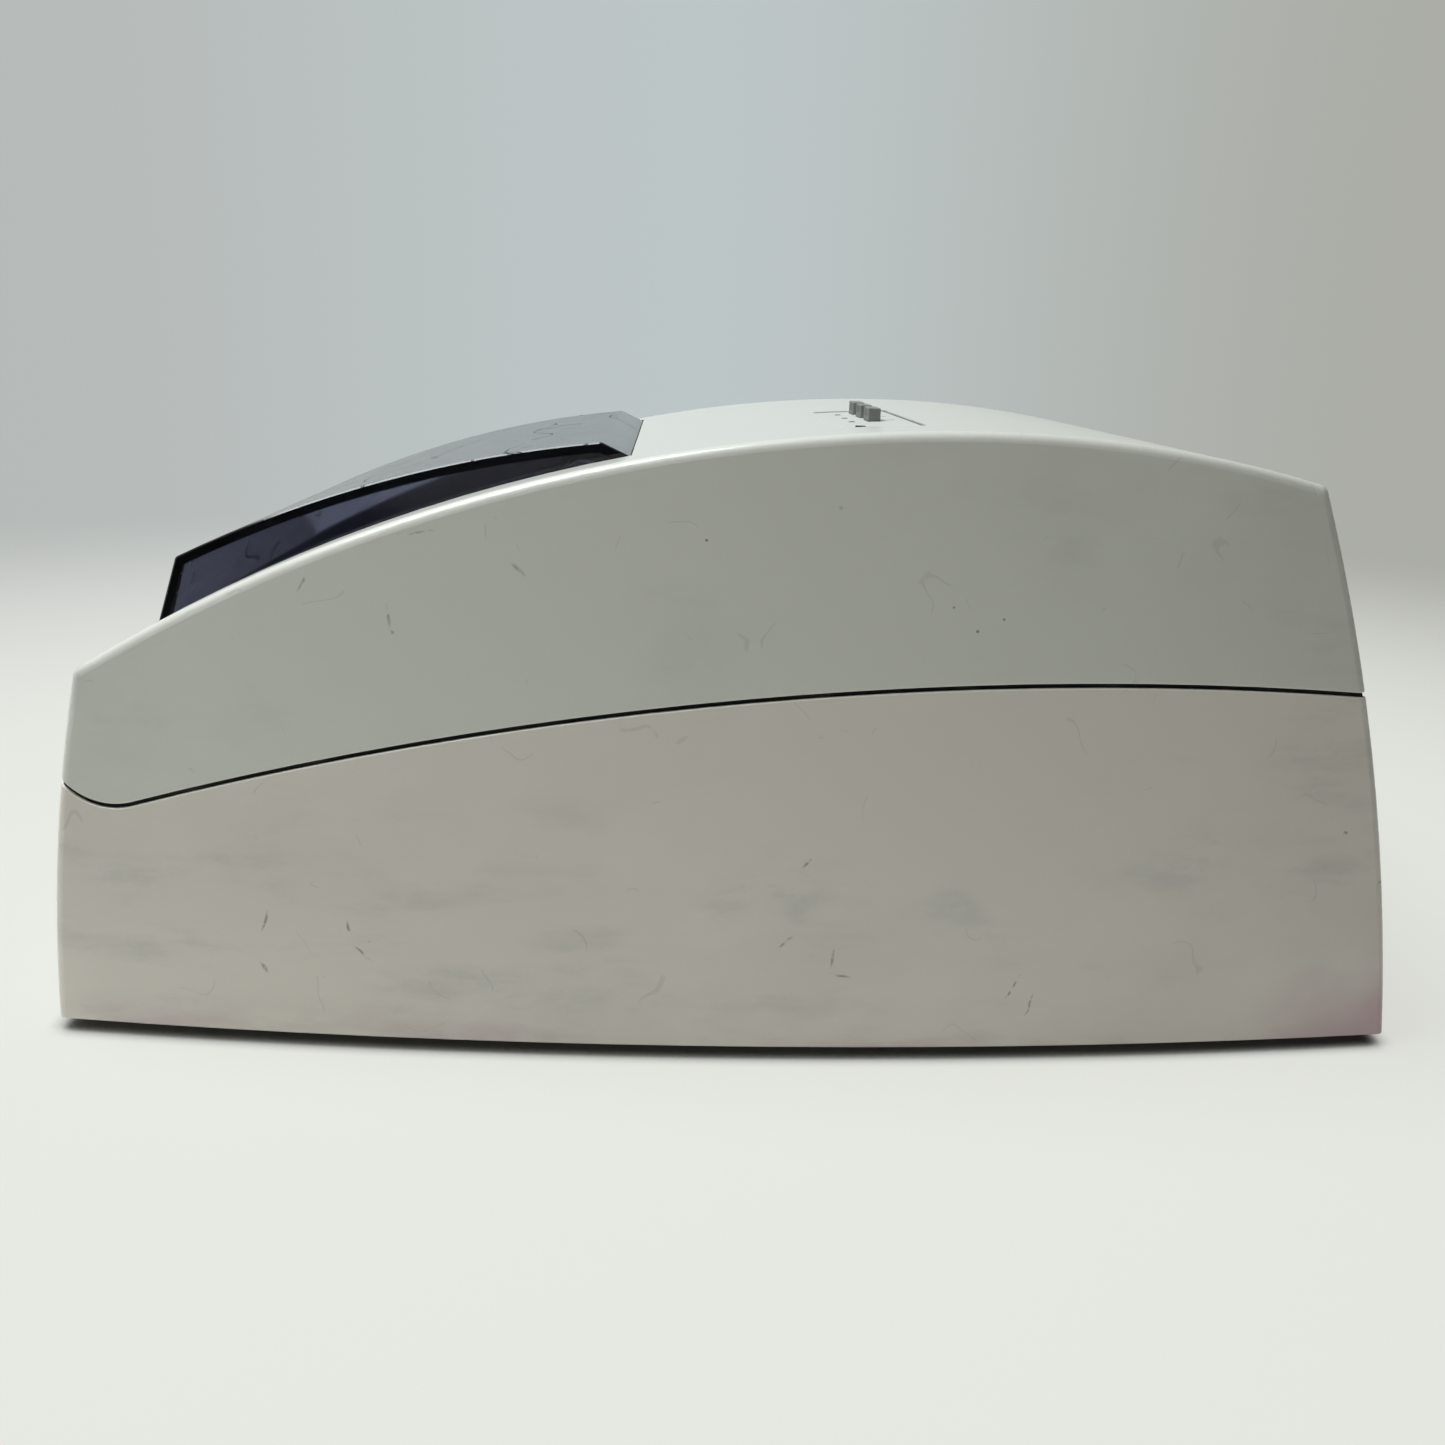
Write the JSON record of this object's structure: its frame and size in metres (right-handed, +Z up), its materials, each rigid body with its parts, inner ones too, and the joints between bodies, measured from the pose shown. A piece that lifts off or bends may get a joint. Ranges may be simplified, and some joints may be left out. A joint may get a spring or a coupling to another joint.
{
  "type": "thermal cycler",
  "caption": "Low bench thermal cycler with a smoked hood that hinges up over a 96-well block, roof keys, and a rear service bay.",
  "frame": {"origin": "centre of the footprint, on the surface the feet stand on", "axes": "+X to the operator's right, +Y to the rear, +Z up; the front of the case faces -Y"},
  "size_m": [0.236, 0.394, 0.1818],
  "materials": {
    "case_paint": "satin off-white lacquered plastic shell, smudged",
    "hood_smoke": "clear navy smoked acrylic",
    "dark_plastic": "fine matt moulded black",
    "grey_plastic": "matt grey moulded",
    "rubber": "soft black rubber",
    "steel": "zinc plated steel",
    "aluminium": "machined aluminium",
    "ceramic": "white ceramic plates",
    "board_green": "solder resist over glass laminate",
    "silicone": "orange silicone heater mat",
    "key_grey": "satin grey key caps",
    "label_film": "printed overlay",
    "glass_tube": "clear glass",
    "cable_jacket": "soft black cable jacket"
  },
  "bodies": {
    "base": {"lower_shell": "case_paint", "upper_shell": "case_paint", "seam_gasket": "rubber", "base_plate": "steel", "rubber_feet": "rubber", "foot_screws": "steel", "case_screws": "steel", "hinge_brackets": "steel", "hinge_pins": "steel", "sample_deck": "dark_plastic", "sample_block": "aluminium", "peltier_modules": "ceramic", "block_frame": "grey_plastic", "heat_sink": "aluminium", "block_posts": "steel", "deck_posts": "steel", "block_fan_frame": "dark_plastic", "rear_fan_frame": "dark_plastic", "rear_panel": "steel", "fan_guard": "steel", "power_inlet": "dark_plastic", "switch_frame": "dark_plastic", "data_ports": "steel", "panel_screws": "steel", "strike_posts": "steel", "key_frame": "label_film", "status_lens": "dark_plastic", "key_board": "board_green", "power_supply": "steel", "board_standoffs": "steel", "main_board": "board_green", "board_parts": "dark_plastic", "driver_board": "board_green", "key_cable": "grey_plastic", "power_leads": "cable_jacket"},
    "lid": {"lid_hood": "hood_smoke", "lid_inner_cover": "dark_plastic", "platen_housing": "dark_plastic", "platen_backing": "steel", "lid_hinge_arms": "steel", "catch_bosses": "dark_plastic", "lid_magnets": "steel", "platen_springs": "steel"},
    "platen": {"heated_platen": "aluminium", "platen_heater": "silicone", "platen_guide_pins": "steel"},
    "left_key": {"key_left": "key_grey"},
    "middle_key": {"key_middle": "key_grey"},
    "right_key": {"key_right": "key_grey"},
    "power_switch": {"power_rocker": "dark_plastic"},
    "fuse_holder": {"fuse_drawer": "dark_plastic", "fuse": "glass_tube"},
    "block_rotor": {"block_fan_rotor": "dark_plastic"},
    "rear_rotor": {"rear_fan_rotor": "dark_plastic"}
  },
  "joints": [
    {"name": "lid_hinge", "type": "hinge", "parent": "base", "child": "lid", "pos_m": [0, -0.047, 0.16], "axis": [-1, 0, 0], "range_deg": [0, 80]},
    {"name": "platen_float", "type": "slide", "parent": "lid", "child": "platen", "axis": [0, 0, 1], "range_m": [0, 0.0025], "stiffness_N_per_m": 6000, "springref_m": -0.0015, "deforming": ["platen_springs"]},
    {"name": "left_key_press", "type": "slide", "parent": "base", "child": "left_key", "axis": [0, 0, -1], "range_m": [0, 0.0015], "stiffness_N_per_m": 900, "springref_m": -0.0006},
    {"name": "middle_key_press", "type": "slide", "parent": "base", "child": "middle_key", "axis": [0, 0, -1], "range_m": [0, 0.0015], "stiffness_N_per_m": 900, "springref_m": -0.0006},
    {"name": "right_key_press", "type": "slide", "parent": "base", "child": "right_key", "axis": [0, 0, -1], "range_m": [0, 0.0015], "stiffness_N_per_m": 900, "springref_m": -0.0006},
    {"name": "power_rocker_tilt", "type": "hinge", "parent": "base", "child": "power_switch", "pos_m": [0.056, 0.174, 0.07], "axis": [1, 0, 0], "range_deg": [0, 14]},
    {"name": "fuse_drawer_slide", "type": "slide", "parent": "base", "child": "fuse_holder", "axis": [0, 1, 0], "range_m": [0, 0.012]},
    {"name": "block_fan_spin", "type": "hinge", "parent": "base", "child": "block_rotor", "pos_m": [0, -0.104, 0.027], "axis": [0, 0, 1], "continuous": true},
    {"name": "rear_fan_spin", "type": "hinge", "parent": "base", "child": "rear_rotor", "pos_m": [-0.046, 0.162, 0.052], "axis": [0, 1, 0], "continuous": true}
  ]
}
